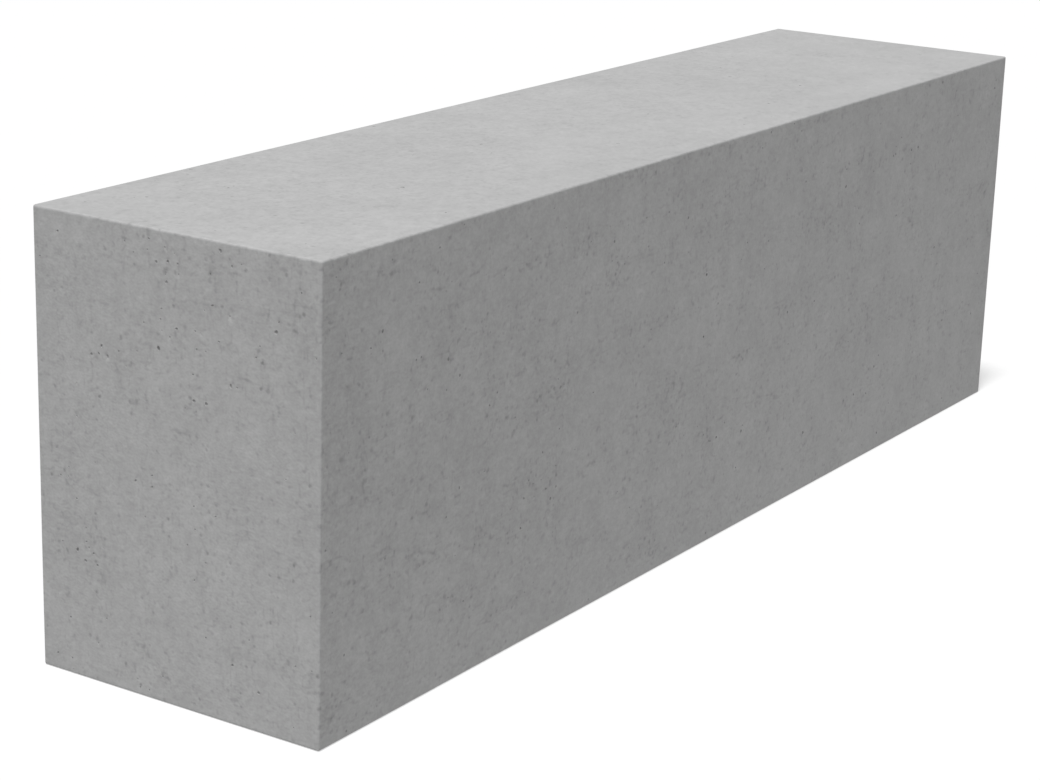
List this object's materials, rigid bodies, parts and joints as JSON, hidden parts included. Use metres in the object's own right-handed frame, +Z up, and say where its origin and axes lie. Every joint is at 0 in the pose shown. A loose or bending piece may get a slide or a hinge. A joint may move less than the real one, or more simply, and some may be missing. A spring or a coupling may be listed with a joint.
{
  "type": "reinforced concrete beam",
  "caption": "Short, deep concrete beam cast in one piece: a plain rectangular section with square ends and lightly eased arrises, laid over an opening or on supports to carry load.",
  "frame": {"origin": "middle of the underside", "axes": "+X along the beam from the near end to the far end, +Y across it from the front side to the back side, +Z up"},
  "size_m": [1.27, 0.295, 0.4],
  "materials": {
    "concrete": "dry fair-faced grey concrete, matt, with fine grain and small scattered blow holes"
  },
  "bodies": {
    "root": {"beam": "concrete"}
  },
  "joints": []
}
